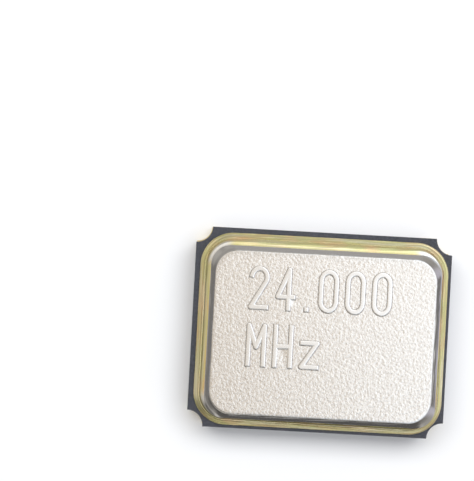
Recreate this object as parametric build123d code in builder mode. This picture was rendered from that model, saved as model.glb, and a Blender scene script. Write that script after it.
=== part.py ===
from build123d import *
import os
from math import sqrt

# Quartz crystal resonator in a 3.2 x 2.5 mm surface-mount ceramic package, standing on its solder
# terminals with the lid up. The origin is the centre of the footprint, on the board's surface:
# +X runs along the long side, +Y along the short side and +Z up to the lid. Sizes are in mm.

os.makedirs("parts", exist_ok=True)

# --- Driving dimensions -------------------------------------------------------------------------

# Ceramic body: a base layer, a wall round the cavity and a ledge inside at the -X end
body_length = 3.20
body_width = 2.50
notch_radius = 0.20              # concave quarter round down each corner
base_thickness = 0.18
wall_height = 0.32
wall_thickness = 0.35
cavity_corner_radius = 0.25
ledge_length = 0.50
ledge_height = 0.10

# Solder terminals: a pad under each corner, two tabs to the body's edges and a lined notch
terminal_thickness = 0.02
terminal_length = 1.01
terminal_width = 0.77
terminal_inset_x = 0.10          # bare ceramic between the pad and the short side
terminal_inset_y = 0.07          # bare ceramic between the pad and the long side
terminal_tab_width = 0.14        # of the strip beside the notch
terminal_corner_radius = 0.022   # rounding of the print's corners inside the footprint
index_chamfer = 0.34             # inner corner cut off terminal 1
lining_thickness = 0.015         # metal on the notch's wall

# Seal: printed land, braze, ring and lid, stacked on the wall
seal_shift_x = 0.014             # how far off centre the land is printed, with all that it carries
seal_shift_y = -0.010
land_margin = 0.053              # bare ceramic outside the land
land_notch_clearance = 0.043     # between the land's rounded corner and the notch
land_setback = 0.02              # from the cavity's edge
land_thickness = 0.015
braze_thickness = 0.015
braze_fillet_width = 0.07        # of the concave fillet round the ring's foot
braze_fillet_height = 0.06
braze_toe_height = 0.008         # thin outer edge of the fillet
ring_wall = 0.20
ring_height = 0.13
ring_inner_corner_radius = 0.20
ring_edge_radius = 0.035         # rounded outer top edge
lid_thickness = 0.07
lid_inset_x = 0.047              # ring left in view beside the lid, at the short sides
lid_inset_y = 0.057              # the same, at the long sides
lid_corner_radius = 0.25
lid_edge_height = 0.03           # upright part of the lid's edge
weld_slope_x = 0.055             # sloped weld track at the short sides
weld_slope_y = 0.06              # the same, at the long sides
lid_face_corner_radius = 0.285   # over the lid's own, so that the track is widest at the corners
lid_shift_x = 0.018              # how far off the ring's centre the lid is welded
lid_shift_y = -0.027

# Quartz blank, held at its -X end
crystal_frequency = 24.0         # MHz
at_cut_constant = 1.664          # MHz mm: thickness times frequency of an AT-cut blank
blank_anchor_gap = 0.12          # between the held end and the cavity's wall
blank_free_gap = 0.23
blank_side_gap = 0.15
electrode_film = 0.003
electrode_anchor_margin = 0.60   # blank left bare at each edge of the electrode
electrode_free_margin = 0.30
electrode_side_margin = 0.25
electrode_lead_width = 0.30
electrode_patch_length = 0.35    # where the top electrode comes round to the underside

# Mounting pads, conductive adhesive, trace, vias and pillow
mounting_pad_thickness = 0.01
mounting_pad_margin = 0.05       # ledge left bare at the pad's ends
mounting_pad_side_margin = 0.12
mounting_pad_gap = 0.50          # between the two pads
adhesive_height = 0.03
adhesive_foot_radius = 0.17
adhesive_head_radius = 0.13
adhesive_bulge_radius = 0.06     # of the dot's round side
trace_width = 0.16
trace_thickness = 0.01
trace_end_gap = 0.20             # between the trace's far end and the cavity's wall
via_radius = 0.05
pillow_length = 0.70
pillow_width = 0.18
pillow_corner_radius = 0.06
pillow_clearance = 0.05          # free height between the pillow and the blank
pillow_end_inset = 0.04          # from the blank's free end

edge_tolerance = 1e-4            # for telling which vertices lie on the body's edges

# --- Levels and places that follow --------------------------------------------------------------

body_bottom = terminal_thickness
floor_level = body_bottom + base_thickness
body_top = floor_level + wall_height
ledge_top = floor_level + ledge_height

cavity_length = body_length - 2 * wall_thickness
cavity_width = body_width - 2 * wall_thickness

terminal_centre_x = body_length / 2 - terminal_inset_x - terminal_length / 2
terminal_centre_y = body_width / 2 - terminal_inset_y - terminal_width / 2
terminal_inner_y = terminal_centre_y - terminal_width / 2
tab_reach = notch_radius + terminal_tab_width
terminal_sides = {1: (-1, 1), 2: (-1, -1), 3: (1, -1), 4: (1, 1)}

# The land's corner keeps one clearance from the notch, whatever the notch's radius
land_length = body_length - 2 * land_margin
land_width = body_width - 2 * land_margin
land_corner_radius = (notch_radius + land_notch_clearance - land_margin * sqrt(2)) / (sqrt(2) - 1)
land_opening_length = cavity_length + 2 * land_setback
land_opening_width = cavity_width + 2 * land_setback
land_opening_radius = cavity_corner_radius + land_setback
braze_bottom = body_top + land_thickness

ring_bottom = braze_bottom + braze_thickness
ring_length = land_length - 2 * braze_fillet_width
ring_width = land_width - 2 * braze_fillet_width
ring_corner_radius = land_corner_radius - braze_fillet_width

lid_bottom = ring_bottom + ring_height
lid_length = ring_length - 2 * lid_inset_x
lid_width = ring_width - 2 * lid_inset_y
lid_slope_foot = lid_bottom + lid_edge_height
lid_top = lid_bottom + lid_thickness

mounting_pad_length = ledge_length - 2 * mounting_pad_margin
mounting_pad_width = (cavity_width - mounting_pad_gap) / 2 - mounting_pad_side_margin
mounting_pad_x = -cavity_length / 2 + ledge_length / 2
mounting_pad_y = mounting_pad_gap / 2 + mounting_pad_width / 2
mounting_pad_top = ledge_top + mounting_pad_thickness

blank_thickness = at_cut_constant / crystal_frequency
blank_length = cavity_length - blank_anchor_gap - blank_free_gap
blank_width = cavity_width - 2 * blank_side_gap
blank_held_end = -cavity_length / 2 + blank_anchor_gap
blank_free_end = blank_held_end + blank_length
blank_bottom = mounting_pad_top + adhesive_height + electrode_film
blank_top = blank_bottom + blank_thickness

electrode_length = blank_length - electrode_anchor_margin - electrode_free_margin
electrode_width = blank_width - 2 * electrode_side_margin
electrode_x = blank_held_end + electrode_anchor_margin + electrode_length / 2
electrode_lead_length = electrode_anchor_margin + electrode_side_margin

# Signal vias stand where the mounting pads lie over the terminals; ground vias stand in the
# wall's corners, half way between the notch and the cavity
signal_via_y = (terminal_inner_y + mounting_pad_y + mounting_pad_width / 2) / 2
trace_far_x = cavity_length / 2 - trace_end_gap - trace_width / 2
ground_via_inset = (
    notch_radius / sqrt(2) + wall_thickness + cavity_corner_radius * (1 - 1 / sqrt(2))
) / 2
ground_via_x = body_length / 2 - ground_via_inset
ground_via_y = body_width / 2 - ground_via_inset

# Name: x, y, lower end, upper end
vias = {
    "via_terminal_1": (mounting_pad_x, signal_via_y, body_bottom, ledge_top),
    "via_mounting_pad_b": (mounting_pad_x, -signal_via_y, floor_level + trace_thickness, ledge_top),
    "via_terminal_3": (trace_far_x, -signal_via_y, body_bottom, floor_level),
    "ground_via_2": (-ground_via_x, -ground_via_y, body_bottom, body_top),
    "ground_via_4": (ground_via_x, ground_via_y, body_bottom, body_top),
}


# --- Outlines that more than one piece uses -----------------------------------------------------

def body_outline():
    """Footprint of the ceramic: a rectangle with its four corners notched."""
    Rectangle(body_length, body_width)
    with GridLocations(body_length, body_width, 2, 2):
        Circle(notch_radius, mode=Mode.SUBTRACT)


def is_inside_footprint(vertex):
    """Whether a vertex of the print lies clear of the body's edges."""
    return abs(vertex.X) < body_length / 2 - edge_tolerance and (
        abs(vertex.Y) < body_width / 2 - edge_tolerance
    )


def cavity_outline(mode=Mode.ADD):
    RectangleRounded(cavity_length, cavity_width, cavity_corner_radius, mode=mode)


def seal_plane(height):
    """Level plane whose centre is the printed land's."""
    return Plane((seal_shift_x, seal_shift_y, height))


def land_outline():
    """Frame-shaped land on top of the wall, which the braze covers."""
    RectangleRounded(land_length, land_width, land_corner_radius)
    RectangleRounded(
        land_opening_length, land_opening_width, land_opening_radius, mode=Mode.SUBTRACT
    )


def trace_outline():
    """Strip with round ends, from under mounting pad b to the via over terminal 3."""
    with Locations(((mounting_pad_x + trace_far_x) / 2, -signal_via_y)):
        SlotCenterToCenter(trace_far_x - mounting_pad_x, trace_width)


# --- Ceramic body -------------------------------------------------------------------------------

with BuildPart() as ceramic_body:
    with BuildSketch(Plane.XY.offset(body_bottom)):
        body_outline()
    extrude(amount=base_thickness + wall_height)
    with BuildSketch(Plane.XY.offset(floor_level)):
        cavity_outline()
    extrude(amount=wall_height, mode=Mode.SUBTRACT)
    with BuildSketch(Plane.XY.offset(floor_level)):
        with Locations((mounting_pad_x, 0)):
            Rectangle(ledge_length, cavity_width)
        cavity_outline(mode=Mode.INTERSECT)
    extrude(amount=ledge_height)
    # Room for the printed trace, part of which lies under the ledge, and for the filled vias
    with BuildSketch(Plane.XY.offset(floor_level)):
        trace_outline()
    extrude(amount=trace_thickness, mode=Mode.SUBTRACT)
    for via_x, via_y, via_bottom, via_top in vias.values():
        with BuildSketch(Plane.XY.offset(via_bottom)):
            with Locations((via_x, via_y)):
                Circle(via_radius)
        extrude(amount=via_top - via_bottom, mode=Mode.SUBTRACT)
ceramic_body.part.label = "ceramic_body"
export_step(ceramic_body.part, "parts/ceramic_body.step")

# --- Solder terminals ---------------------------------------------------------------------------

for number, (side_x, side_y) in terminal_sides.items():
    body_corner = (side_x * body_length / 2, side_y * body_width / 2)
    with BuildPart() as terminal:
        with BuildSketch(Plane.XY) as pad_outline:
            with Locations((side_x * terminal_centre_x, side_y * terminal_centre_y)):
                Rectangle(terminal_length, terminal_width)
            if number == 1:
                chamfer(pad_outline.vertices().sort_by_distance((0, 0, 0))[0], index_chamfer)
            with Locations(body_corner):
                Rectangle(2 * tab_reach, 2 * tab_reach)
            Rectangle(body_length, body_width, mode=Mode.INTERSECT)
            with Locations(body_corner):
                Circle(notch_radius - lining_thickness, mode=Mode.SUBTRACT)
            fillet(pad_outline.vertices().filter_by(is_inside_footprint), terminal_corner_radius)
        extrude(amount=terminal_thickness)
        with BuildSketch(Plane.XY.offset(body_bottom)):
            with Locations(body_corner):
                Circle(notch_radius)
                Circle(notch_radius - lining_thickness, mode=Mode.SUBTRACT)
            Rectangle(body_length, body_width, mode=Mode.INTERSECT)
        extrude(amount=base_thickness)
    terminal.part.label = f"terminal_{number}"
    export_step(terminal.part, f"parts/terminal_{number}.step")

# --- Seal: land, braze, ring and lid ------------------------------------------------------------

with BuildPart() as seal_metallization:
    with BuildSketch(seal_plane(body_top)):
        land_outline()
    extrude(amount=land_thickness)
seal_metallization.part.label = "seal_metallization"
export_step(seal_metallization.part, "parts/seal_metallization.step")

# A thin sheet under the ring, and a concave fillet that climbs the ring's outer wall all round
with BuildLine(seal_plane(ring_bottom)) as ring_foot:
    Polyline(
        (ring_length / 2, -ring_width / 2),
        (ring_length / 2, ring_width / 2),
        (-ring_length / 2, ring_width / 2),
        (-ring_length / 2, -ring_width / 2),
        close=True,
    )
    fillet(ring_foot.vertices(), ring_corner_radius)
ring_path = ring_foot.wire()
path_start = ring_path @ 0
path_direction = ring_path % 0
outward = path_direction.cross(Vector(0, 0, 1))

with BuildPart() as braze_fillet:
    with BuildSketch(seal_plane(braze_bottom)):
        land_outline()
    extrude(amount=braze_thickness)
    with BuildSketch(Plane(origin=path_start, x_dir=outward, z_dir=-path_direction)):
        with BuildLine():
            Polyline(
                (0, braze_fillet_height),
                (0, 0),
                (braze_fillet_width, 0),
                (braze_fillet_width, braze_toe_height),
            )
            EllipticalCenterArc(
                (braze_fillet_width, braze_fillet_height),
                braze_fillet_width,
                braze_fillet_height - braze_toe_height,
                start_angle=180,
                arc_size=90,
            )
        make_face()
    sweep(path=ring_path)
braze_fillet.part.label = "braze_fillet"
export_step(braze_fillet.part, "parts/braze_fillet.step")

with BuildPart() as seal_ring:
    with BuildSketch(seal_plane(ring_bottom)):
        RectangleRounded(ring_length, ring_width, ring_corner_radius)
        RectangleRounded(
            ring_length - 2 * ring_wall,
            ring_width - 2 * ring_wall,
            ring_inner_corner_radius,
            mode=Mode.SUBTRACT,
        )
    extrude(amount=ring_height)
    fillet(seal_ring.faces().sort_by(Axis.Z)[-1].outer_wire().edges(), ring_edge_radius)
seal_ring.part.label = "seal_ring"
export_step(seal_ring.part, "parts/seal_ring.step")

# A flat plate whose rim the seam weld has melted down to a slope
with BuildPart() as lid:
    with BuildSketch(seal_plane(lid_bottom)):
        with Locations((lid_shift_x, lid_shift_y)):
            RectangleRounded(lid_length, lid_width, lid_corner_radius)
    extrude(amount=lid_edge_height)
    with BuildSketch(seal_plane(lid_slope_foot)):
        with Locations((lid_shift_x, lid_shift_y)):
            RectangleRounded(lid_length, lid_width, lid_corner_radius)
    with BuildSketch(seal_plane(lid_top)):
        with Locations((lid_shift_x, lid_shift_y)):
            RectangleRounded(
                lid_length - 2 * weld_slope_x,
                lid_width - 2 * weld_slope_y,
                lid_face_corner_radius,
            )
    loft()
lid.part.label = "lid"
export_step(lid.part, "parts/lid.step")

# --- Quartz blank and its electrodes ------------------------------------------------------------

with BuildPart() as quartz_blank:
    with BuildSketch(Plane.XY.offset(blank_bottom)):
        with Locations((blank_held_end + blank_length / 2, 0)):
            Rectangle(blank_length, blank_width)
    extrude(amount=blank_thickness)
quartz_blank.part.label = "quartz_blank"
export_step(quartz_blank.part, "parts/quartz_blank.step")


def electrode_outline(lead_side):
    """Driven area in the middle of the blank, with a lead to the held end."""
    with Locations((electrode_x, 0)):
        Rectangle(electrode_length, electrode_width)
    with Locations((blank_held_end + electrode_lead_length / 2, lead_side * mounting_pad_y)):
        Rectangle(electrode_lead_length, electrode_lead_width)


# The top electrode's lead turns down over the blank's end, to reach adhesive dot a below
with BuildPart() as electrode_top:
    with BuildSketch(Plane.XY.offset(blank_top)):
        electrode_outline(1)
    extrude(amount=electrode_film)
    with BuildSketch(Plane.XY.offset(blank_bottom - electrode_film)):
        with Locations((blank_held_end - electrode_film / 2, mounting_pad_y)):
            Rectangle(electrode_film, electrode_lead_width)
    extrude(amount=blank_thickness + 2 * electrode_film)
    with BuildSketch(Plane.XY.offset(blank_bottom - electrode_film)):
        with Locations((blank_held_end + electrode_patch_length / 2, mounting_pad_y)):
            Rectangle(electrode_patch_length, electrode_lead_width)
    extrude(amount=electrode_film)
electrode_top.part.label = "electrode_top"
export_step(electrode_top.part, "parts/electrode_top.step")

with BuildPart() as electrode_bottom:
    with BuildSketch(Plane.XY.offset(blank_bottom - electrode_film)):
        electrode_outline(-1)
    extrude(amount=electrode_film)
electrode_bottom.part.label = "electrode_bottom"
export_step(electrode_bottom.part, "parts/electrode_bottom.step")

# --- Mounting pads and adhesive dots ------------------------------------------------------------

for name, side in (("a", 1), ("b", -1)):
    with BuildPart() as mounting_pad:
        with BuildSketch(Plane.XY.offset(ledge_top)):
            with Locations((mounting_pad_x, side * mounting_pad_y)):
                Rectangle(mounting_pad_length, mounting_pad_width)
        extrude(amount=mounting_pad_thickness)
    mounting_pad.part.label = f"mounting_pad_{name}"
    export_step(mounting_pad.part, f"parts/mounting_pad_{name}.step")

    dot_centre = (mounting_pad_x, side * mounting_pad_y, mounting_pad_top)
    with BuildPart() as adhesive_dot:
        with BuildSketch(Plane(origin=dot_centre, x_dir=(1, 0, 0), z_dir=(0, -1, 0))):
            with BuildLine():
                Polyline(
                    (adhesive_head_radius, adhesive_height),
                    (0, adhesive_height),
                    (0, 0),
                    (adhesive_foot_radius, 0),
                )
                RadiusArc(
                    (adhesive_foot_radius, 0),
                    (adhesive_head_radius, adhesive_height),
                    -adhesive_bulge_radius,
                )
            make_face()
        revolve(axis=Axis(dot_centre, (0, 0, 1)))
    adhesive_dot.part.label = f"adhesive_dot_{name}"
    export_step(adhesive_dot.part, f"parts/adhesive_dot_{name}.step")

# --- Pillow, trace and vias ---------------------------------------------------------------------

with BuildPart() as end_pillow:
    with BuildSketch(Plane.XY.offset(floor_level)):
        with Locations((blank_free_end - pillow_end_inset - pillow_width / 2, 0)):
            RectangleRounded(pillow_width, pillow_length, pillow_corner_radius)
    extrude(amount=blank_bottom - pillow_clearance - floor_level)
end_pillow.part.label = "end_pillow"
export_step(end_pillow.part, "parts/end_pillow.step")

with BuildPart() as floor_trace:
    with BuildSketch(Plane.XY.offset(floor_level)):
        trace_outline()
    extrude(amount=trace_thickness)
floor_trace.part.label = "floor_trace"
export_step(floor_trace.part, "parts/floor_trace.step")

for name, (via_x, via_y, via_bottom, via_top) in vias.items():
    with BuildPart() as via:
        with BuildSketch(Plane.XY.offset(via_bottom)):
            with Locations((via_x, via_y)):
                Circle(via_radius)
        extrude(amount=via_top - via_bottom)
    via.part.label = name
    export_step(via.part, f"parts/{name}.step")
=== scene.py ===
import math

import bmesh
import bpy
import numpy as np
from mathutils import Matrix, Vector, noise
from mathutils.geometry import delaunay_2d_cdt

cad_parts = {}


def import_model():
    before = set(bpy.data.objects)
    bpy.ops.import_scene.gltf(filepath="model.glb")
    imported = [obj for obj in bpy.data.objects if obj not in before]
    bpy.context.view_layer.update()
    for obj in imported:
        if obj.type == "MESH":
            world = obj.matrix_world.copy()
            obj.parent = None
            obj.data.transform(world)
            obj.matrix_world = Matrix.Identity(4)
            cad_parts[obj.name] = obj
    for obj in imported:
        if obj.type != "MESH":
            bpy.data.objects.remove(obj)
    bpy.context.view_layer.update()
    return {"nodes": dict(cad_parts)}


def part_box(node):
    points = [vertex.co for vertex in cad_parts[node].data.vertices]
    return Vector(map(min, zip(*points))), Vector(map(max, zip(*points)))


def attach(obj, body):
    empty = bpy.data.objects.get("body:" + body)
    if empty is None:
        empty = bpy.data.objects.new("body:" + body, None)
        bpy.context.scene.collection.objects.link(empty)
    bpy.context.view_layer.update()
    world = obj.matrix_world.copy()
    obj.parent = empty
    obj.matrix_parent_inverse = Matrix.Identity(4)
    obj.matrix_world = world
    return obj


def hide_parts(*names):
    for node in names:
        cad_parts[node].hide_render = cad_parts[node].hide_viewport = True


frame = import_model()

# The looks of the crystal resonator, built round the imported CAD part. Meshes are made in
# millimetres, where the mesh tools keep their precision, and scaled to metres when a piece is done.

MM = 0.001


def node_box(name):
    """A CAD node's lowest and highest corner, in millimetres."""
    low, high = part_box(name)
    return low / MM, high / MM


def middle(low, high):
    """The middle of a box, in x and y."""
    return (high.x + low.x) / 2, (high.y + low.y) / 2


def half_size(low, high):
    """Half the length and half the width of a box."""
    return (high.x - low.x) / 2, (high.y - low.y) / 2


# --- Sizes from the frame, and the few that the CAD's boxes don't give ----------------------------

body_low, body_high = node_box("ceramic_body")
land_low, land_high = node_box("seal_metallization")
braze_low, braze_high = node_box("braze_fillet")
ring_low, ring_high = node_box("seal_ring")
lid_low, lid_high = node_box("lid")

BODY_X, BODY_Y = body_high.x, body_high.y
LAND_X, LAND_Y = half_size(land_low, land_high)
RING_X, RING_Y = half_size(ring_low, ring_high)
LID_X, LID_Y = half_size(lid_low, lid_high)
SEAL_CENTRE = middle(land_low, land_high)
LID_CENTRE = middle(lid_low, lid_high)
FLOOR_LEVEL = node_box("floor_trace")[0].z
LEDGE_TOP = node_box("mounting_pad_a")[0].z

NOTCH_RADIUS = 0.20
# The land's corners keep this far from the notches, which sets their radius
NOTCH_CLEARANCE = 0.043
LAND_MARGIN = BODY_X - LAND_X
LAND_RADIUS = (NOTCH_RADIUS + NOTCH_CLEARANCE - LAND_MARGIN * math.sqrt(2)) / (math.sqrt(2) - 1)
RING_RADIUS = LAND_RADIUS - (LAND_X - RING_X)

# Rounded rectangles: half the length, half the width and the corners' radius
LAND = (LAND_X, LAND_Y, LAND_RADIUS)
RING = (RING_X, RING_Y, RING_RADIUS)
RING_WALL = 0.20
RING_HOLE = (RING_X - RING_WALL, RING_Y - RING_WALL, 0.20)
CAVITY = (1.25, 0.90, 0.25)
OPENING = (1.27, 0.92, 0.27)

# The ledge that carries the blank ends here, and the well begins
LEDGE_EDGE = -0.75
LID_RADIUS = 0.25
FACE_RADIUS = 0.285
# Width of the lid's sloping rim on the short and the long sides
SLOPE_X, SLOPE_Y = 0.055, 0.06

# Points on each long side, short side and corner of a rounded rectangle
STEPS_X, STEPS_Y, CORNER_STEPS = 64, 44, 20
QUARTERS = (0, 90, 180, 270)

# --- Building helpers -----------------------------------------------------------------------------


def turned(x, y, degrees):
    c, s = math.cos(math.radians(degrees)), math.sin(math.radians(degrees))
    return x * c - y * s, x * s + y * c


def ring_anchors(steps_x=STEPS_X, steps_y=STEPS_Y, arc_steps=CORNER_STEPS):
    """Places round any rounded rectangle, anticlockwise: each is a point of the inner rectangle,
    from -1 to 1 each way, and the direction in degrees in which the radius is laid off."""
    anchors = []
    for turn, steps in zip(QUARTERS, (steps_y, steps_x) * 2):
        anchors += [(*turned(1, 2 * i / steps - 1, turn), turn) for i in range(steps)]
        anchors += [(*turned(1, 1, turn), turn + 90 * i / arc_steps) for i in range(arc_steps)]
    return anchors


# How far one step of the seed moves the place in the noise
SEED_SHIFT = (17.3, -9.1, 5.7)
# A loop's outline and its height waver on these scales, and the height by this share of the outline
OUTLINE_WAVES, HEIGHT_WAVES = 4.0, 7.0
HEIGHT_SHARE = 0.4
HEIGHT_SEED = 3


def waver(x, y, seed, scale):
    """A smooth uneven value, about -1 to 1, that depends only on the place and the seed."""
    shift_x, shift_y, shift_z = (shift * seed for shift in SEED_SHIFT)
    return noise.noise(Vector((x * scale + shift_x, y * scale + shift_y, shift_z)))


def rounded_loop(anchors, half_x, half_y, radius, z=0.0, centre=(0.0, 0.0), seed=0.0, amount=0.0):
    """Points of a rounded rectangle at the anchors, uneven by amount."""
    points = []
    for u, v, degrees in anchors:
        a = math.radians(degrees)
        x, y = u * (half_x - radius), v * (half_y - radius)
        reach, lift = radius, 0.0
        if amount:
            reach += waver(x, y, seed, OUTLINE_WAVES) * amount
            lift = waver(x, y, seed + HEIGHT_SEED, HEIGHT_WAVES) * amount * HEIGHT_SHARE
        points.append((
            x + reach * math.cos(a) + centre[0], y + reach * math.sin(a) + centre[1], z + lift
        ))
    return points


def loft(bm, rows, closed=False):
    """Quads between rows of vertices that all have one length. Closed joins the last to the first."""
    count = len(rows[0])
    for r in range(len(rows) if closed else len(rows) - 1):
        a, b = rows[r], rows[(r + 1) % len(rows)]
        for i in range(count):
            j = (i + 1) % count
            bm.faces.new((a[i], a[j], b[j], b[i]))


def add_row(bm, points):
    return [bm.verts.new(p) for p in points]


def stacked_solid(loops):
    """A closed solid through loops of points, with flat ends."""
    bm = bmesh.new()
    rows = [add_row(bm, loop) for loop in loops]
    loft(bm, rows)
    bm.faces.new(rows[0])
    bm.faces.new(rows[-1])
    bmesh.ops.recalc_face_normals(bm, faces=bm.faces)
    return bm


def settle(piece):
    """Applies a piece's modifiers to its mesh."""
    graph = bpy.context.evaluated_depsgraph_get()
    done = bpy.data.meshes.new_from_object(piece.evaluated_get(graph))
    piece.modifiers.clear()
    piece.data = done


def new_object(name, bm):
    mesh = bpy.data.meshes.new(name)
    bm.to_mesh(mesh)
    bm.free()
    piece = bpy.data.objects.new(name, mesh)
    bpy.context.scene.collection.objects.link(piece)
    return piece


def cut(piece, bm):
    """Takes a closed bmesh out of a piece."""
    cutter = new_object("cutter", bm)
    modifier = piece.modifiers.new("cut", "BOOLEAN")
    modifier.operation = "DIFFERENCE"
    modifier.solver = "EXACT"
    modifier.object = cutter
    settle(piece)
    bpy.data.objects.remove(cutter)


def to_metres(piece):
    """Scales a piece that was made in millimetres."""
    piece.data.transform(Matrix.Scale(MM, 4))


def dress(piece, material):
    """Gives a piece one material."""
    piece.data.materials.clear()
    piece.data.materials.append(material)


def finish_piece(piece, material, node, sharp_degrees):
    """Shades a piece that was made in millimetres, and puts it in the place of a CAD node."""
    piece.data.shade_smooth()
    piece.data.set_sharp_from_angle(angle=math.radians(sharp_degrees))
    modifier = piece.modifiers.new("normals", "WEIGHTED_NORMAL")
    modifier.keep_sharp = True
    settle(piece)
    to_metres(piece)
    dress(piece, material)
    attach(piece, "root")
    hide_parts(node)


# --- Materials ------------------------------------------------------------------------------------


class Nodes:
    """A short way to write a node tree. Values may be numbers, colours or sockets."""

    def __init__(self, tree, output):
        self.tree = tree
        tree.nodes.clear()
        self.output = self.add(output)

    def put(self, socket, value):
        if isinstance(value, bpy.types.NodeSocket):
            self.tree.links.new(value, socket)
        else:
            socket.default_value = value

    def add(self, kind, inputs=None, **settings):
        node = self.tree.nodes.new(kind)
        for key, value in settings.items():
            setattr(node, key, value)
        for key, value in (inputs or {}).items():
            self.put(node.inputs[key], value)
        return node

    def place(self, scale=1.0):
        """Object coordinates in millimetres, times scale."""
        coords = self.add("ShaderNodeTexCoord").outputs["Object"]
        inputs = {"Vector": coords, "Scale": (scale / MM, scale / MM, scale / MM)}
        return self.add("ShaderNodeMapping", inputs).outputs["Vector"]

    def noise(self, vector, scale, detail=2.0, roughness=0.5):
        inputs = {"Vector": vector, "Scale": scale, "Detail": detail, "Roughness": roughness}
        return self.add("ShaderNodeTexNoise", inputs).outputs["Fac"]

    def spread(self, value, low, high, out_low=0.0, out_high=1.0, smooth=False):
        """Maps low..high to out_low..out_high, clamped."""
        inputs = {
            "Value": value, "From Min": low, "From Max": high, "To Min": out_low, "To Max": out_high,
        }
        kind = "SMOOTHSTEP" if smooth else "LINEAR"
        return self.add("ShaderNodeMapRange", inputs, interpolation_type=kind).outputs["Result"]

    def math(self, operation, a, b=0.0):
        return self.add("ShaderNodeMath", {0: a, 1: b}, operation=operation).outputs[0]

    def mix(self, factor, a, b):
        """Mixes two colours, which are inputs 6 and 7 and output 2 of the node."""
        return self.add("ShaderNodeMix", {0: factor, 6: a, 7: b}, data_type="RGBA").outputs[2]

    def bump(self, height, distance):
        """Height is 0 to 1 over a depth of distance, in millimetres."""
        inputs = {"Height": height, "Distance": distance * MM}
        return self.add("ShaderNodeBump", inputs).outputs["Normal"]

    def attribute(self, name, output="Fac"):
        return self.add("ShaderNodeAttribute", attribute_name=name).outputs[output]


class Material(Nodes):
    """A material and its node tree, which ends in surface or clear_where."""

    def __init__(self, name):
        self.material = bpy.data.materials.new(name)
        self.material.use_nodes = True
        super().__init__(self.material.node_tree, "ShaderNodeOutputMaterial")

    def surface(self, **inputs):
        """Principled shader. Inputs are its sockets' names in lower case."""
        shader = self.add("ShaderNodeBsdfPrincipled")
        sockets = {socket.name.lower().replace(" ", "_"): socket for socket in shader.inputs}
        for key, value in inputs.items():
            self.put(sockets[key], value)
        self.put(self.output.inputs["Surface"], shader.outputs[0])
        return self.material

    def clear_where(self, share, shader):
        """The shader where share is 0, and nothing to be seen where it is 1."""
        clear = self.add("ShaderNodeBsdfTransparent")
        both = self.add("ShaderNodeMixShader", {0: share, 1: shader.outputs[0], 2: clear.outputs[0]})
        self.put(self.output.inputs["Surface"], both.outputs[0])
        return self.material


def rgb(r, g, b):
    return (r, g, b, 1.0)


def ceramic_material():
    """Fired black alumina: slate, matt, with fine paler grains."""
    n = Material("black_ceramic")
    place = n.place()
    grain = n.noise(place, 34.0, 3.0, 0.6)
    speck = n.noise(place, 85.0, 1.0)
    cloud = n.noise(place, 2.2, 2.0)
    tone = n.mix(n.spread(grain, 0.38, 0.64), rgb(0.040, 0.042, 0.052), rgb(0.064, 0.067, 0.082))
    tone = n.mix(n.spread(cloud, 0.45, 0.75, 0.0, 0.35), tone, rgb(0.074, 0.068, 0.072))
    tone = n.mix(n.spread(speck, 0.60, 0.80), tone, rgb(0.12, 0.125, 0.14))
    rough = n.spread(grain, 0.3, 0.7, 0.50, 0.64)
    return n.surface(base_color=tone, roughness=rough, normal=n.bump(grain, 0.0012))


def gold_material():
    """Gold flashed over nickel on the printed terminals: smooth, a little peach in the middle."""
    n = Material("gold_plating")
    place = n.place()
    grain = n.noise(place, 48.0, 2.0)
    cloud = n.noise(place, 3.0, 2.0)
    tone = n.mix(n.spread(cloud, 0.35, 0.65), rgb(0.90, 0.72, 0.38), rgb(0.93, 0.78, 0.42))
    tone = n.mix(n.spread(grain, 0.55, 0.80, 0.0, 0.3), tone, rgb(0.97, 0.86, 0.58))
    rough = n.spread(grain, 0.3, 0.7, 0.30, 0.42)
    return n.surface(base_color=tone, metallic=1.0, roughness=rough, normal=n.bump(grain, 0.0007))


# The nickel on the ring's corners covers all to this depth and this far in from the sides, and
# fades out by the larger values
SPLASH_DEPTH, SPLASH_FADE_DEPTH = 0.003, 0.012
SPLASH_REACH, SPLASH_FADE_REACH = 0.24, 0.38


def gold_band_material():
    """Gold over the brazed seam: streaks of olive, peach and pale yellow that run along the frame.
    At the corners, nickel has run from the lid's weld onto the top of the ring."""
    n = Material("gold_plated_band")
    band = n.attribute("band", "Vector")
    streak = n.noise(band, 1.0, 2.0, 0.5)
    broad = n.add("ShaderNodeMapping", {"Vector": band, "Scale": (2.0, 2.0, 0.25)}).outputs[0]
    patch = n.noise(broad, 1.0, 2.0)
    place = n.place()
    grain = n.noise(place, 60.0, 2.0)
    tone = n.mix(n.spread(patch, 0.44, 0.66), rgb(0.74, 0.68, 0.33), rgb(0.86, 0.62, 0.34))
    tone = n.mix(n.spread(streak, 0.45, 0.70), tone, rgb(0.86, 0.78, 0.52))
    part = n.add("ShaderNodeSeparateXYZ", {0: place}).outputs
    splash = n.spread(part["Z"], ring_high.z - SPLASH_FADE_DEPTH, ring_high.z - SPLASH_DEPTH)
    for axis, side in (("X", RING_X), ("Y", RING_Y)):
        away = n.math("ABSOLUTE", part[axis])
        near = n.spread(away, side - SPLASH_FADE_REACH, side - SPLASH_REACH, smooth=True)
        splash = n.math("MULTIPLY", splash, near)
    tone = n.mix(splash, tone, rgb(0.80, 0.78, 0.74))
    height = n.math("ADD", streak, n.math("MULTIPLY", grain, 0.25))
    rough = n.spread(streak, 0.3, 0.7, 0.25, 0.17)
    return n.surface(base_color=tone, metallic=1.0, roughness=rough, normal=n.bump(height, 0.0018))


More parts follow.
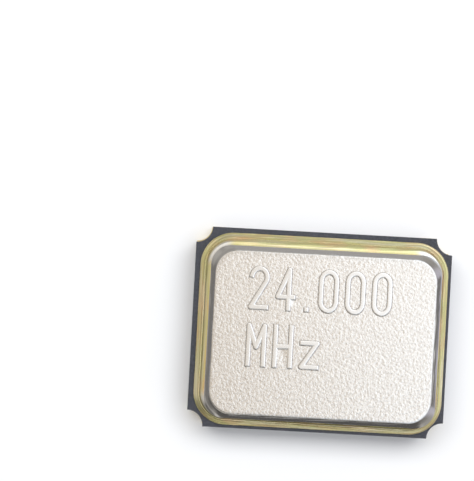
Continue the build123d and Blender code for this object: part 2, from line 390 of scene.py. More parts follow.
def nickel_material():
    """Satin nickel with a fine worm-like grain. The raised marking and the weld track are smooth."""
    n = Material("nickel_lid")
    place = n.place()
    mark, track = n.attribute("mark"), n.attribute("track")
    grain = n.noise(place, 28.0, 2.0, 0.6)
    fine = n.noise(place, 56.0, 1.0)
    matte = n.math("SUBTRACT", 1.0, n.math("MAXIMUM", mark, track))
    depth = n.math("ADD", n.spread(grain, 0.30, 0.70), n.math("MULTIPLY", fine, 0.4))
    depth = n.math("MULTIPLY", depth, matte)
    tone = n.mix(n.spread(grain, 0.32, 0.66), rgb(0.77, 0.71, 0.645), rgb(0.91, 0.86, 0.795))
    tone = n.mix(mark, tone, rgb(0.90, 0.86, 0.81))
    # Darker where the track share is: the weld track's own tint, and painted shade in the zone on the
    # face's edge, widest on the +Y side
    tone = n.mix(track, tone, rgb(0.66, 0.64, 0.61))
    rough = n.spread(fine, 0.3, 0.7, 0.22, 0.30)
    rough = n.math("SUBTRACT", rough, n.math("MULTIPLY", track, 0.12))
    return n.surface(base_color=tone, metallic=1.0, roughness=rough, normal=n.bump(depth, 0.0014))


def plain_metal(name, light, dark, smoothest):
    """Metal between two tones, with a roughness from smoothest to a little more."""
    n = Material(name)
    grain = n.noise(n.place(), 40.0, 2.0)
    rough = n.spread(grain, 0.3, 0.7, smoothest, smoothest + 0.1)
    return n.surface(base_color=n.mix(grain, dark, light), metallic=1.0, roughness=rough)


def quartz_material():
    """Clear, with a faint cloud in its polish."""
    n = Material("quartz")
    cloud = n.noise(n.place(), 2.0, 2.0)
    tone = n.mix(cloud, rgb(0.94, 0.96, 0.97), rgb(0.98, 0.99, 1.0))
    rough = n.spread(cloud, 0.3, 0.7, 0.04, 0.10)
    return n.surface(base_color=tone, roughness=rough, transmission_weight=1.0, ior=1.54)


def adhesive_material():
    """Grey resin full of silver flakes."""
    n = Material("conductive_adhesive")
    flakes = n.noise(n.place(), 90.0, 2.0)
    tone = n.mix(n.spread(flakes, 0.35, 0.65), rgb(0.42, 0.41, 0.39), rgb(0.66, 0.65, 0.62))
    rough = n.spread(flakes, 0.3, 0.7, 0.45, 0.6)
    return n.surface(base_color=tone, metallic=0.6, roughness=rough, normal=n.bump(flakes, 0.002))


ceramic = ceramic_material()
gold = gold_material()
gold_band = gold_band_material()
nickel = nickel_material()

# --- Ceramic body ---------------------------------------------------------------------------------

NOTCH_STEPS = 16
# The edges' rounding, and the share of it by which its middle lies in from both faces
EDGE_ROUND, EDGE_BEND = 0.008, 0.3
# The faint seams where the green sheets were pressed together
SEAM_DEPTH, SEAM_REACH = 0.0025, 0.005
# Via holes are cut this far past the ends of the vias
THROUGH = 0.004
VIAS = ("via_terminal_1", "via_mounting_pad_b", "via_terminal_3", "ground_via_2", "ground_via_4")
# Half the distance between the corners' centres of a rounded rectangle that stands for a circle, or
# for the round end of a slot
APART = 1e-4


def notched_loop(inset, z):
    """The footprint with a concave notch at each corner, moved inwards by inset."""
    radius = NOTCH_RADIUS + inset
    reach = math.sqrt(radius**2 - inset**2)
    start = math.degrees(math.asin(inset / radius))
    points = []
    sides = ((BODY_X, BODY_Y, STEPS_Y), (BODY_Y, BODY_X, STEPS_X)) * 2
    for turn, (side, end, steps) in zip(QUARTERS, sides):
        for i in range(steps):
            along = (end - reach) * (2 * i / steps - 1)
            points.append((*turned(side - inset, along, turn), z))
        for i in range(NOTCH_STEPS):
            dx, dy = turned(radius, 0, -90 - start - (90 - 2 * start) * i / NOTCH_STEPS)
            points.append((*turned(side + dx, end + dy, turn), z))
    return points


def rounded_prism(half_x, half_y, radius, low, high, centre=(0.0, 0.0), steps=8, arc_steps=12):
    """An upright solid with a rounded rectangle for its footprint."""
    anchors = ring_anchors(steps, steps, arc_steps)
    loops = [rounded_loop(anchors, half_x, half_y, radius, z, centre) for z in (low, high)]
    return stacked_solid(loops)


def cut_cavity(body):
    """The upper cavity down to the ledge, and the well beside the ledge down to the floor."""
    above = body_high.z + EDGE_ROUND
    cut(body, rounded_prism(*CAVITY, LEDGE_TOP, above))
    well = rounded_prism(*CAVITY, FLOOR_LEVEL, above)
    bmesh.ops.bisect_plane(
        well, geom=well.verts[:] + well.edges[:] + well.faces[:],
        plane_co=(LEDGE_EDGE, 0, 0), plane_no=(-1, 0, 0), clear_outer=True,
    )
    bmesh.ops.holes_fill(well, edges=[e for e in well.edges if e.is_boundary])
    cut(body, well)


def cut_conductors(body):
    """The slot for the printed trace and the holes for the vias."""
    low, high = node_box("floor_trace")
    half_x, half_y = half_size(low, high)
    cut(body, rounded_prism(half_x, half_y, half_y - APART, low.z, high.z, middle(low, high)))
    for name in VIAS:
        low, high = node_box(name)
        radius = half_size(low, high)[0]
        cut(body, rounded_prism(
            radius, radius, radius - APART, low.z - THROUGH, high.z + THROUGH, middle(low, high),
            steps=1, arc_steps=8,
        ))


def body_piece():
    r, bend = EDGE_ROUND, EDGE_ROUND * EDGE_BEND
    profile = [(r, body_low.z), (bend, body_low.z + bend), (0.0, body_low.z + r)]
    for seam in (FLOOR_LEVEL, LEDGE_TOP):
        profile += [(0.0, seam - SEAM_REACH), (SEAM_DEPTH, seam), (0.0, seam + SEAM_REACH)]
    profile += [(0.0, body_high.z - r), (bend, body_high.z - bend), (r, body_high.z)]
    body = new_object("ceramic_body_look", stacked_solid([notched_loop(*p) for p in profile]))
    cut_cavity(body)
    cut_conductors(body)
    finish_piece(body, ceramic, "ceramic_body", sharp_degrees=35.0)


body_piece()

# --- Solder terminals -----------------------------------------------------------------------------

# The pad of a terminal, its distance from the sides and the rounding of its corners
PAD_LENGTH, PAD_WIDTH = 1.01, 0.77
PAD_INSET_X, PAD_INSET_Y = 0.10, 0.07
PAD_CORNER = 0.022
# The print's edge is domed over this height and width
PAD_DOME, DOME_STEPS = 0.011, 4
# Tabs run from the pad to the package's sides, and this far along them from its corner
TAB_REACH = 0.34
# Terminal 1 is marked by its cut inner corner
INDEX_CHAMFER = 0.34
# Metal on the notch's wall. Across its rounded top edge: how far out from its face and how far
# below its top, as shares of its thickness
LINING = 0.015
LINING_EDGE = ((0.0, 0.5), (0.3, 0.15), (0.7, 0.0), (1.0, 0.0))
TERMINALS = {1: (-1, 1), 2: (-1, -1), 3: (1, -1), 4: (1, 1)}


def notch_arc(radius):
    """Points along the +X +Y notch, from the short side to the long one."""
    steps = range(NOTCH_STEPS + 1)
    angles = [math.radians(-90 - 90 * i / NOTCH_STEPS) for i in steps]
    return [Vector((BODY_X + radius * math.cos(a), BODY_Y + radius * math.sin(a))) for a in angles]


def corner_arc(before, corner, after, radius, steps=5):
    """The corner of an outline, rounded."""
    a, b = (before - corner).normalized(), (after - corner).normalized()
    half = math.acos(max(-1.0, min(1.0, a.dot(b)))) / 2
    centre = corner + (a + b).normalized() * (radius / math.sin(half))
    first = corner + a * (radius / math.tan(half)) - centre
    last = corner + b * (radius / math.tan(half)) - centre
    sweep = first.angle_signed(last)
    return [centre + Matrix.Rotation(-sweep * i / steps, 2) @ first for i in range(steps + 1)]


def terminal_outline(chamfered):
    """The print in the +X +Y corner, anticlockwise from its inner corner: the pad and one tab, then
    the notch's arc, then the other tab. Gives the points and where the arc starts and ends."""
    x0, y0 = BODY_X - PAD_INSET_X - PAD_LENGTH, BODY_Y - PAD_INSET_Y - PAD_WIDTH
    x1, y1 = BODY_X - PAD_INSET_X, BODY_Y - PAD_INSET_Y
    inner = [(x0, y0 + INDEX_CHAMFER), (x0 + INDEX_CHAMFER, y0)] if chamfered else [(x0, y0)]
    corners = inner + [
        (x1, y0), (x1, BODY_Y - TAB_REACH), (BODY_X, BODY_Y - TAB_REACH),
        (BODY_X, BODY_Y - NOTCH_RADIUS), (BODY_X - NOTCH_RADIUS, BODY_Y),
        (BODY_X - TAB_REACH, BODY_Y), (BODY_X - TAB_REACH, y1), (x0, y1),
    ]
    corners = [Vector(c) for c in corners]
    # the corner from which the notch's arc leads to the next one
    lined = len(inner) + 3
    points = []
    for i, corner in enumerate(corners):
        if i == lined:
            start = len(points)
            points += [corner] + notch_arc(NOTCH_RADIUS - LINING)
            end = len(points)
        elif i == lined + 1 or corner.x == BODY_X or corner.y == BODY_Y:
            points.append(corner)
        else:
            points += corner_arc(corners[i - 1], corner, corners[(i + 1) % len(corners)], PAD_CORNER)
    return points, start, end


# In a sharp corner a point moves no further than the distance over this
SHARPEST_TURN = 0.3


def moved_in(points, distance):
    """An anticlockwise outline, each side moved inwards by distance."""
    result = []
    for i, point in enumerate(points):
        a = (point - points[i - 1]).normalized()
        b = (points[(i + 1) % len(points)] - point).normalized()
        across = Vector((-a.y, a.x))
        inward = (across + Vector((-b.y, b.x))).normalized()
        result.append(point + inward * (distance / max(SHARPEST_TURN, inward.dot(across))))
    return result


def add_lining(bm, print_top, start, end, thick, top):
    """The metal that climbs the notch's wall from the print's upper outline, and the print's upper
    face. Start and end are where the notch's arc begins and ends in that outline."""
    strips = [print_top[start + 1:end]]
    for out, drop in LINING_EDGE:
        line = notch_arc(NOTCH_RADIUS - LINING * (1 - out))
        strips.append(add_row(bm, [(*p, top - LINING * drop) for p in line]))
    foot = add_row(bm, [(*p, thick) for p in notch_arc(NOTCH_RADIUS)[1:-1]])
    foot = [print_top[start], *foot, print_top[end]]
    strips.append(foot)
    for a, b in zip(strips, strips[1:]):
        for i in range(NOTCH_STEPS):
            bm.faces.new((a[i], a[i + 1], b[i + 1], b[i]))
    bm.faces.new([strip[0] for strip in strips])
    bm.faces.new([strip[-1] for strip in strips])
    bm.faces.new(print_top[:start] + foot + print_top[end + 1:])


def terminal_piece(number, side_x, side_y):
    """Built in the +X +Y corner, and mirrored to its own."""
    thick = body_low.z
    top = node_box(f"terminal_{number}")[1].z
    points, start, end = terminal_outline(number == 1)
    bm = bmesh.new()
    rows = []
    for i in range(DOME_STEPS + 1):
        a = math.radians(90 * i / DOME_STEPS)
        inset, z = PAD_DOME * (1 - math.sin(a)), PAD_DOME * (1 - math.cos(a))
        rows.append(add_row(bm, [(*p, z) for p in moved_in(points, inset)]))
    rows.append(add_row(bm, [(*p, thick) for p in points]))
    loft(bm, rows)
    bm.faces.new(rows[0])
    add_lining(bm, rows[-1], start, end, thick, top)
    for v in bm.verts:
        v.co.x *= side_x
        v.co.y *= side_y
    bmesh.ops.recalc_face_normals(bm, faces=bm.faces)
    piece = new_object(f"terminal_{number}_look", bm)
    finish_piece(piece, gold, f"terminal_{number}", sharp_degrees=40.0)


for number, sides in TERMINALS.items():
    terminal_piece(number, *sides)

# --- Land, braze and ring -------------------------------------------------------------------------

# Scale of the streaks along the frame and across it
BAND_ALONG, BAND_ACROSS = 1.3, 26.0
# How far the outlines waver, the seed of a piece's first row and the seed's step from row to row
UNEVEN = 0.0022
FIRST_SEED, FRAME_SEED_STEP, LID_SEED_STEP = 2.0, 0.03, 0.02


def frame_piece(name, profile, uneven=0.0):
    """A frame-shaped piece. Profile is a closed list of half_x, half_y, radius, z and shift in y.
    Its band attribute runs round the frame without a seam, so that its looks streak along it."""
    anchors = ring_anchors()
    count = len(anchors)
    round_radius = (RING_X + RING_Y) * 2 / math.pi * BAND_ALONG
    bm = bmesh.new()
    rows, band = [], []
    across = 0.0
    for k, (half_x, half_y, radius, z, shift) in enumerate(profile):
        centre = (SEAL_CENTRE[0], SEAL_CENTRE[1] + shift)
        if k:
            across += math.hypot(half_x - profile[k - 1][0], z - profile[k - 1][3])
        # only the part in view is uneven, and the bottom stays flat
        amount = uneven if half_x > RING_X - RING_WALL / 2 and z > profile[0][3] else 0.0
        seed = FIRST_SEED + FRAME_SEED_STEP * k
        rows.append(add_row(bm, rounded_loop(anchors, half_x, half_y, radius, z, centre, seed, amount)))
        for i in range(count):
            band += [*turned(round_radius, 0, 360 * i / count), across * BAND_ACROSS]
    loft(bm, rows, closed=True)
    bmesh.ops.recalc_face_normals(bm, faces=bm.faces)
    piece = new_object(f"{name}_look", bm)
    attribute = piece.data.attributes.new("band", "FLOAT_VECTOR", "POINT")
    attribute.data.foreach_set("vector", band)
    finish_piece(piece, gold_band, name, sharp_degrees=60.0)


def inwards(half_x, half_y, radius, inset, z, shift=0.0):
    """A profile's entry: a rounded rectangle, moved inwards by inset."""
    return (half_x - inset, half_y - inset, radius - inset, z, shift)


def land_piece():
    low, high = land_low.z, land_high.z
    profile = [inwards(*LAND, 0.0, z) for z in (low, high)]
    profile += [inwards(*OPENING, 0.0, z) for z in (high, low)]
    frame_piece("seal_metallization", profile)


def braze_piece():
    """The braze slopes gently down over the land from a quick climb at the ring's wall."""
    width = LAND_X - RING_X
    toe_round, toe_height, slope_rise = 0.006, 0.004, 0.020
    toe = ring_low.z + toe_height
    climb = braze_high.z - toe - slope_rise
    climb_power = 16
    toe_steps, slope_steps = 3, 20
    profile = [inwards(*LAND, 0.0, braze_low.z)]
    for i in range(toe_steps + 1):
        a = math.radians(90 * i / toe_steps)
        inset, z = toe_round * (1 - math.cos(a)), toe - toe_round * (1 - math.sin(a))
        profile.append(inwards(*LAND, inset, z))
    for i in range(1, slope_steps + 1):
        t = i / slope_steps
        inset, z = toe_round + (width - toe_round) * t, toe + slope_rise * t + climb * t**climb_power
        profile.append(inwards(*LAND, inset, z))
    profile += [
        inwards(*LAND, width, ring_low.z), inwards(*OPENING, 0.0, ring_low.z),
        inwards(*OPENING, 0.0, braze_low.z),
    ]
    frame_piece("braze_fillet", profile, UNEVEN)


def ring_piece():
    """The ring's top curves down to its outer wall, steeper on the -Y side, and both edges of the
    top are softened."""
    top = ring_high.z
    shoulder_width, shoulder_tilt = 0.065, 32.0
    edge_round, hole_round = 0.004, 0.012
    # the shoulder's top lies this far in y from above its foot
    skew = -0.015
    shoulder_steps, hole_steps = 12, 4
    curve = (shoulder_width - edge_round) / math.sin(math.radians(shoulder_tilt))
    drop = curve * (1 - math.cos(math.radians(shoulder_tilt)))
    profile = [inwards(*RING, 0.0, ring_low.z), inwards(*RING, 0.0, top - drop - edge_round)]
    for i in range(shoulder_steps + 1):
        t = i / shoulder_steps
        a = math.radians(shoulder_tilt * (1 - t))
        inset, z = shoulder_width - curve * math.sin(a), top - curve * (1 - math.cos(a))
        profile.append(inwards(*RING, inset, z, skew * t))
    for i in range(hole_steps + 1):
        a = math.radians(90 * i / hole_steps)
        inset, z = -hole_round * (1 - math.sin(a)), top - hole_round * (1 - math.cos(a))
        profile.append(inwards(*RING_HOLE, inset, z))
    profile.append(inwards(*RING_HOLE, 0.0, ring_low.z))
    frame_piece("seal_ring", profile, UNEVEN)


land_piece()
braze_piece()
ring_piece()

# --- Lid ------------------------------------------------------------------------------------------

MARKING = ("24.000", "MHz")
# The middle of the first glyph, and the steps from glyph to glyph and from row to row. A point
# takes less than a whole step.
FIRST_GLYPH = (-0.79, 0.526)
GLYPH_PITCH, ROW_SPACING = 0.33, 0.707
POINT_PITCH = 0.60
GLYPH_WIDTH, GLYPH_HEIGHT = 0.262, 0.55
STROKE = 0.072
MARK_HEIGHT = 0.008
FACE_LEVEL = lid_high.z - MARK_HEIGHT
# Across the edge of a stroke: how far inwards, and the share of its height
STROKE_EDGE = ((0.0, 0.0), (0.009, 0.82), (0.017, 0.97), (0.023, 1.0))
# The punch stood a little askew, so that a stroke's foot lies off its top
STROKE_SKEW = Vector((0.0005, -0.002))
# Outlines are followed on a grid of this cell, and their points stay within this of their place
OUTLINE_CELL, OUTLINE_TOLERANCE = 0.006, 0.0003
# Points nearer than this are one: along a centre line, and where the face is filled
SAME_POINT, FILL_TOLERANCE = 1e-9, 1e-7


def arc(centre_y, radius_y, start, end, steps=18):
    """Part of an ellipse as wide as a glyph, in units of its size."""
    points = []
    for i in range(steps + 1):
        a = math.radians(start + (end - start) * i / steps)
        points.append((0.5 * math.cos(a), centre_y + radius_y * math.sin(a)))
    return points


# Centre lines of each character, in a box from -0.5 to 0.5 both ways. The point is a stroke of
# almost no length.
BOWL = arc(0.26, 0.24, 0, 180) + arc(-0.26, 0.24, 180, 360)
GLYPHS = {
    "0": [BOWL + BOWL[:1]],
    "2": [arc(0.27, 0.23, 168, -28) + [(-0.5, -0.5), (0.5, -0.5)]],
    "4": [[(0.2, -0.5), (0.2, 0.5), (-0.5, -0.2), (0.5, -0.2)]],
    "M": [[(-0.5, -0.5), (-0.5, 0.5), (0.0, -0.05), (0.5, 0.5), (0.5, -0.5)]],
    "H": [[(-0.5, -0.5), (-0.5, 0.5)], [(0.5, -0.5), (0.5, 0.5)], [(-0.5, 0.0), (0.5, 0.0)]],
    "z": [[(-0.5, 0.12), (0.5, 0.12), (-0.5, -0.5), (0.5, -0.5)]],
    ".": [[(0.0, -0.5), (0.0, -0.499)]],
}


def stroke_distance(x, y, strokes):
    """Distance from each point to the nearest centre line. Open ends are square, half a stroke on."""
    best = np.full(x.shape, np.inf)
    for line in strokes:
        points = np.array(line)
        closed = np.allclose(points[0], points[-1])
        for i in range(len(points) - 1):
            step = points[i + 1] - points[i]
            length = math.hypot(*step)
            if length < SAME_POINT:
                continue
            step = step / length
            along = (x - points[i][0]) * step[0] + (y - points[i][1]) * step[1]
            across = np.abs((x - points[i][0]) * step[1] - (y - points[i][1]) * step[0])
            before, after = np.maximum(-along, 0), np.maximum(along - length, 0)
            distance = np.hypot(across, before + after)
            if not closed and i == 0:
                distance = np.where(along < 0, np.maximum(across, before), distance)
            if not closed and i == len(points) - 2:
                distance = np.where(along > length, np.maximum(across, after), distance)
            best = np.minimum(best, distance)
    return best


def level_lines(field, level, xs, ys):
    """The closed lines along which a field, sampled on a grid, has one level."""
    links = {}
    for j in range(len(ys) - 1):
        for i in range(len(xs) - 1):
            corners = ((j, i), (j, i + 1), (j + 1, i + 1), (j + 1, i))
            sides = [tuple(sorted(side)) for side in zip(corners, corners[1:] + corners[:1])]
            crossed = [(a, b) for a, b in sides if (field[a] < level) != (field[b] < level)]
            for a, b in zip(crossed[::2], crossed[1::2]):
                links.setdefault(a, []).append(b)
                links.setdefault(b, []).append(a)
    lines = []
    while links:
        at, line = next(iter(links)), []
        while at:
            (j0, i0), (j1, i1) = at
            t = (level - field[j0, i0]) / (field[j1, i1] - field[j0, i0])
            line.append(Vector((xs[i0] + (xs[i1] - xs[i0]) * t, ys[j0] + (ys[j1] - ys[j0]) * t)))
            at = next((end for end in links.pop(at) if end in links), None)
        lines.append(line)
    return lines


def thinned(line):
    """A line without the points that lie on a straight run."""
    kept = [line[0]]
    start = 0
    for i in range(2, len(line)):
        chord = (line[i] - line[start]).normalized()
        if any(abs(chord.cross(p - line[start])) > OUTLINE_TOLERANCE for p in line[start + 1:i]):
            start = i - 1
            kept.append(line[start])
    return kept + line[-1:]


def glyph_outlines(character):
    """Closed lines of x and y round a character's strokes, each with its share of their height."""
    width, height = GLYPH_WIDTH - STROKE, GLYPH_HEIGHT - STROKE
    strokes = [[(x * width, y * height) for x, y in line] for line in GLYPHS[character]]
    margin = 2 * OUTLINE_CELL
    xs = np.arange(-GLYPH_WIDTH / 2 - margin, GLYPH_WIDTH / 2 + 2 * margin, OUTLINE_CELL)
    ys = np.arange(-GLYPH_HEIGHT / 2 - margin, GLYPH_HEIGHT / 2 + 2 * margin, OUTLINE_CELL)
    field = stroke_distance(*np.meshgrid(xs, ys), strokes)
    return [
        (thinned(line), share)
        for inset, share in STROKE_EDGE for line in level_lines(field, STROKE / 2 - inset, xs, ys)
    ]


def marking_outlines():
    """The outlines of both lines of marking, in millimetres on the lid."""
    known = {character: glyph_outlines(character) for character in GLYPHS}
    outlines = []
    for row, text in enumerate(MARKING):
        place = Vector((FIRST_GLYPH[0], FIRST_GLYPH[1] - row * ROW_SPACING))
        for character in text:
            back = GLYPH_PITCH * (1 - POINT_PITCH) / 2 if character == "." else 0.0
            for line, share in known[character]:
                start = place - Vector((back, 0)) + STROKE_SKEW * (1 - share)
                outlines.append(([start + p for p in line], share))
            place.x += GLYPH_PITCH - 2 * back
    return outlines


def fill_face(bm, border):
    """The lid's flat face inside its border, with the raised marking. Gives the height of each
    vertex that it adds, from 0 to 1."""
    verts = list(border)
    loops = [range(len(verts))]
    shares = []
    for line, share in marking_outlines():
        loops.append(range(len(verts), len(verts) + len(line)))
        verts += add_row(bm, [(*p, FACE_LEVEL + MARK_HEIGHT * share) for p in line])
        shares += [share] * len(line)
    edges = [(loop[i - 1], loop[i]) for loop in loops for i in range(len(loop))]
    flat = [v.co.xy for v in verts]
    fill_inside = 1
    _, _, faces, origins, _, _ = delaunay_2d_cdt(flat, edges, [], fill_inside, FILL_TOLERANCE)
    for face in faces:
        bm.faces.new([verts[origins[i][0]] for i in face])
    return shares


def rim_profile():
    """From the face outwards: a zone that darkens the face towards its edge, partly the weld's own tint
    and partly painted shade, widened on the +Y side as painted shade; a soft shoulder, the weld
    track, its lip and the edge. Each entry is half_x, half_y, radius, z, shift in y and share of the
    track's finish."""
    face_x, face_y = LID_X - SLOPE_X, LID_Y - SLOPE_Y
    # The zone darkens the face towards its edge: partly the weld's own tint, partly painted shade; its
    # extra width on the +Y side is painted shade
    zone, painted_shade_extra = 0.030, 0.040
    shoulder, shoulder_drop = 0.014, 0.006
    lip, edge_height = 0.001, 0.024
    # on the long sides the shoulder goes on into the slope
    reach = 0.010
    # the track is a little hollow, so that it flattens towards its foot
    hollow = 0.25
    # share of the track's darker finish at the shoulder's start, which in the zone is partly painted
    # shade
    warmed_and_shaded = 0.38
    track_steps = 9
    track_top, track_foot = FACE_LEVEL - shoulder_drop, lid_low.z + edge_height
    profile = []
    # The zone, where the track's darker finish fades in: painted shade in part, and wider on the +Y
    # side as painted shade
    for share in (0.0, 0.16, warmed_and_shaded):
        t = share / warmed_and_shaded
        s, e = shoulder + zone * (1 - t), painted_shade_extra * (1 - t)
        profile.append((face_x - s, face_y - s - e / 2, FACE_RADIUS - s / 2, FACE_LEVEL, -e / 2, share))
    for t in (0.3, 0.5, 0.7, 0.85, 1.0):
        s = shoulder * (1 - t)
        profile.append((
            face_x - s, face_y - s + reach * t, FACE_RADIUS - s / 2,
            FACE_LEVEL - shoulder_drop * t * t, 0.0, warmed_and_shaded + (1 - warmed_and_shaded) * t * t,
        ))
    for i in range(1, track_steps + 1):
        t = i / track_steps
        profile.append((
            face_x + (SLOPE_X - lip) * t, face_y + reach + (SLOPE_Y - lip - reach) * t,
            FACE_RADIUS + (LID_RADIUS - FACE_RADIUS - lip / 2) * t,
            track_top + (track_foot - track_top) * (t + hollow * t * (1 - t)), 0.0, 1.0,
        ))
    for t in (0.5, 1.0):
        s = lip * (1 - t)
        profile.append((LID_X - s, LID_Y - s, LID_RADIUS - s / 2, track_foot - lip * t * t, 0.0, 1.0))
    profile.append((LID_X, LID_Y, LID_RADIUS, lid_low.z, 0.0, 1.0))
    return profile


def lid_piece():
    """The lid, with two attributes for its looks: the marking's height and the weld track's share,
    which in the zone at the face's edge also carries painted shade.
    """
    anchors = ring_anchors()
    bm = bmesh.new()
    rows, tracks = [], []
    profile = rim_profile()
    for k, (half_x, half_y, radius, z, shift, track) in enumerate(profile):
        uneven = UNEVEN if 0 < k < len(profile) - 1 else 0.0
        centre = (LID_CENTRE[0], LID_CENTRE[1] + shift)
        seed = FIRST_SEED + LID_SEED_STEP * k
        rows.append(add_row(bm, rounded_loop(anchors, half_x, half_y, radius, z, centre, seed, uneven)))
        tracks += [track] * len(anchors)
    loft(bm, rows)
    bm.faces.new(rows[-1])
    shares = fill_face(bm, rows[0])
    bmesh.ops.recalc_face_normals(bm, faces=bm.faces)
    piece = new_object("lid_look", bm)
    marks, tracks = [0.0] * len(tracks) + shares, tracks + [0.0] * len(shares)
    for name, values in (("mark", marks), ("track", tracks)):
        attribute = piece.data.attributes.new(name, "FLOAT", "POINT")
        attribute.data.foreach_set("value", values)
    finish_piece(piece, nickel, "lid", sharp_degrees=25.0)


lid_piece()

# --- CAD nodes inside the package, which keep their own shape -------------------------------------

silver = plain_metal("electrode_metal", rgb(0.93, 0.92, 0.90), rgb(0.88, 0.87, 0.84), 0.12)
tungsten = plain_metal("tungsten", rgb(0.42, 0.40, 0.38), rgb(0.30, 0.29, 0.28), 0.45)
adhesive = adhesive_material()
INNER = {
    "quartz_blank": quartz_material(),
    "electrode_top": silver,
    "electrode_bottom": silver,
    "mounting_pad_a": gold,
    "mounting_pad_b": gold,
    "adhesive_dot_a": adhesive,
    "adhesive_dot_b": adhesive,
    "end_pillow": ceramic,
    "floor_trace": tungsten,
    **{name: tungsten for name in VIAS},
}
for name, material in INNER.items():
    dress(frame["nodes"][name], material)

# --- Floor, light and camera ----------------------------------------------------------------------

# The paper lies this far below the part, and looks this much brighter than its light makes it
FLOOR_SIZE = 400.0
FLOOR_GAP = 0.002
FLOOR_LIFT = 0.03
# The sheet of light for the underside: its distance from the part's sides, and its brightness
UNDER_INSET = 0.02
UNDER_LIGHT = 1.0


def floor():
    """Pale paper, white to the camera away from the object, and clear when seen from underneath."""
    bm = bmesh.new()
    bmesh.ops.create_grid(bm, x_segments=8, y_segments=8, size=FLOOR_SIZE / 2 * MM)
    for v in bm.verts:
        v.co.z = -FLOOR_GAP * MM
    plane = new_object("floor", bm)
    n = Material("floor_paper")
    fibre = n.noise(n.place(0.02), 3.0, 3.0)
    paper = n.add("ShaderNodeBsdfDiffuse", {
        "Color": n.mix(fibre, rgb(0.92, 0.92, 0.925), rgb(0.95, 0.95, 0.95)),
    })
    path = n.add("ShaderNodeLightPath").outputs
    seen = n.math("MAXIMUM", path["Is Camera Ray"], path["Is Glossy Ray"])
    seen = n.math("MAXIMUM", seen, path["Is Transmission Ray"])
    lift = n.add("ShaderNodeEmission", {
        "Color": rgb(1, 1, 1), "Strength": n.math("MULTIPLY", seen, FLOOR_LIFT),
    })
    lit = n.add("ShaderNodeAddShader", {0: paper.outputs[0], 1: lift.outputs[0]})
    back = n.add("ShaderNodeNewGeometry").outputs["Backfacing"]
    dress(plane, n.clear_where(back, lit))


def under_light():
    """Light for the underside alone, which lies on the paper: a sheet just under the object that no
    camera sees, so that a view from underneath isn't black."""
    bm = bmesh.new()
    sheet_face = bm.faces.new(add_row(bm, notched_loop(UNDER_INSET, -FLOOR_GAP / 2)))
    sheet_face.normal_update()
    if sheet_face.normal.z < 0:
        sheet_face.normal_flip()
    sheet = new_object("under_light", bm)
    to_metres(sheet)
    n = Material("under_light")
    glow = n.add("ShaderNodeEmission", {"Color": rgb(1, 1, 1), "Strength": UNDER_LIGHT})
    camera_ray = n.add("ShaderNodeLightPath").outputs["Is Camera Ray"]
    back = n.add("ShaderNodeNewGeometry").outputs["Backfacing"]
    dress(sheet, n.clear_where(n.math("MAXIMUM", camera_ray, back), glow))
    n.material.cycles.emission_sampling = "NONE"


# Brightness of the surroundings by elevation in degrees, straight down to straight up
SKY = (
    (-90.0, (0.80, 0.80, 0.80)),
    (-4.0, (1.0, 1.0, 1.0)),
    (4.0, (1.0, 1.0, 1.0)),
    (10.0, (0.23, 0.23, 0.24)),
    (34.0, (0.26, 0.25, 0.24)),
    (50.0, (0.54, 0.53, 0.51)),
    (66.0, (0.62, 0.60, 0.57)),
    (90.0, (0.64, 0.585, 0.515)),
)
# Soft panels that add light to that: a colour, and ramps along the axes of the direction that bound
# it, each from where nothing of it is left to where it is full
PANELS = (
    ((0.70, 0.85, 1.05), (("X", -0.06, 0.22), ("Z", 0.70, 0.90))),
    ((0.40, 0.40, 0.50), (("X", 0.60, 0.78), ("X", 0.93, 0.85), ("Z", 0.0, 0.1))),
    ((0.52, 0.52, 0.52), (("Y", 0.04, 0.20), ("Y", 0.46, 0.34), ("Z", 0.82, 0.88))),
    ((0.28, 0.28, 0.28), (("Y", 0.45, 0.95), ("X", -0.70, 0.10), ("Z", 0.12, 0.24))),
    ((0.25, 0.25, 0.24), (("Y", -0.56, -0.62), ("Y", -0.74, -0.68), ("Z", 0.62, 0.68))),
    ((0.09, 0.07, 0.045), (("Y", 0.02, -0.16), ("Y", -0.34, -0.22), ("Z", 0.80, 0.90))),
)
# Dimmer parts of the surroundings: the share of SKY that they take away, and their ramps
SHADES = (
    (0.50, (("Y", -0.67, -0.73),)),
    (0.50, (("X", -0.20, -0.50), ("Y", -0.20, -0.50), ("Z", 0.75, 0.65))),
    (0.75, (("Y", -0.22, -0.34), ("Y", -0.62, -0.57), ("Z", 0.74, 0.80))),
    (0.40, (("Y", 0.42, 0.50), ("Y", 0.70, 0.62), ("Z", 0.74, 0.80))),
)


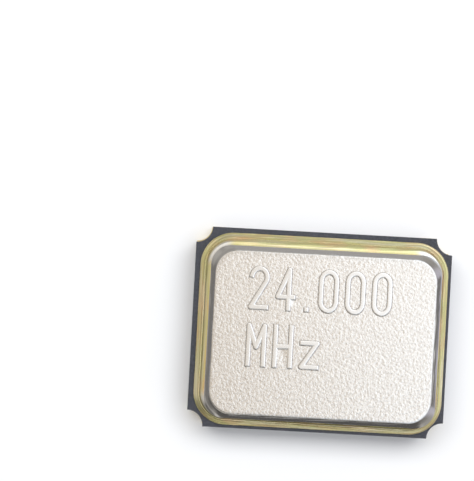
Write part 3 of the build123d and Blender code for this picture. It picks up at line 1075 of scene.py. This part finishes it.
def world():
    """Soft studio surroundings: white at the horizon, dim above it and pale overhead, with soft
    panels and dimmer parts between them."""
    studio = bpy.data.worlds.new("studio")
    bpy.context.scene.world = studio
    studio.use_nodes = True
    n = Nodes(studio.node_tree, "ShaderNodeOutputWorld")
    way = n.add("ShaderNodeTexCoord").outputs["Generated"]
    part = n.add("ShaderNodeSeparateXYZ", {0: way}).outputs
    ramp = n.add("ShaderNodeValToRGB", {"Fac": n.spread(part["Z"], -1.0, 1.0)})
    elements = ramp.color_ramp.elements
    while len(elements) < len(SKY):
        elements.new(0.5)
    for element, (degrees, _) in zip(elements, SKY):
        element.position = (math.sin(math.radians(degrees)) + 1) / 2
    for element, (_, colour) in zip(elements, SKY):
        element.color = (*colour, 1.0)

    def within(ramps):
        share = 1.0
        for axis, start, full in ramps:
            share = n.math("MULTIPLY", share, n.spread(part[axis], start, full, smooth=True))
        return share

    left = 1.0
    for share, ramps in SHADES:
        kept = n.math("SUBTRACT", 1.0, n.math("MULTIPLY", within(ramps), share))
        left = n.math("MULTIPLY", left, kept)
    sky = n.add("ShaderNodeBackground", {"Color": ramp.outputs["Color"], "Strength": left})
    total = sky.outputs[0]
    for colour, ramps in PANELS:
        panel = n.add("ShaderNodeBackground", {"Color": rgb(*colour), "Strength": within(ramps)})
        total = n.add("ShaderNodeAddShader", {0: total, 1: panel.outputs[0]}).outputs[0]
    n.put(n.output.inputs["Surface"], total)


def lamp(name, azimuth, elevation, distance, size_x, size_y, radiance):
    """A panel that faces the object. Azimuth 0 is +X and 90 is +Y; lengths are in millimetres, and
    a radiance of 1 looks white."""
    light = bpy.data.lights.new(name, "AREA")
    light.shape = "RECTANGLE"
    light.size, light.size_y = size_x * MM, size_y * MM
    light.energy = radiance * math.pi * light.size * light.size_y
    holder = bpy.data.objects.new(name, light)
    a, e = math.radians(azimuth), math.radians(elevation)
    way = Vector((math.cos(a) * math.cos(e), math.sin(a) * math.cos(e), math.sin(e)))
    holder.location = way * distance * MM
    holder.rotation_euler = (-way).to_track_quat("-Z", "Y").to_euler()
    holder.visible_glossy = False
    bpy.context.scene.collection.objects.link(holder)


# The camera looks straight down from here, turned by this many degrees, and sees between these
# distances
CAMERA_PLACE = (-1.0943, 1.0916, 18.0)
CAMERA_TURN = 3.15
NEAREST, FURTHEST = 0.5, 1000.0
LENS, SENSOR_WIDTH = 104.8, 36.0


def camera():
    data = bpy.data.cameras.new("camera")
    data.lens = LENS
    data.sensor_width = SENSOR_WIDTH
    data.clip_start, data.clip_end = NEAREST * MM, FURTHEST * MM
    holder = bpy.data.objects.new("camera", data)
    holder.location = Vector(CAMERA_PLACE) * MM
    holder.rotation_euler = (0.0, 0.0, math.radians(CAMERA_TURN))
    bpy.context.scene.collection.objects.link(holder)
    bpy.context.scene.camera = holder


floor()
under_light()
world()
lamp("key", azimuth=92.0, elevation=65.0, distance=60.0, size_x=84.0, size_y=27.0, radiance=3.7)
camera()
bpy.context.scene.view_settings.view_transform = "Standard"
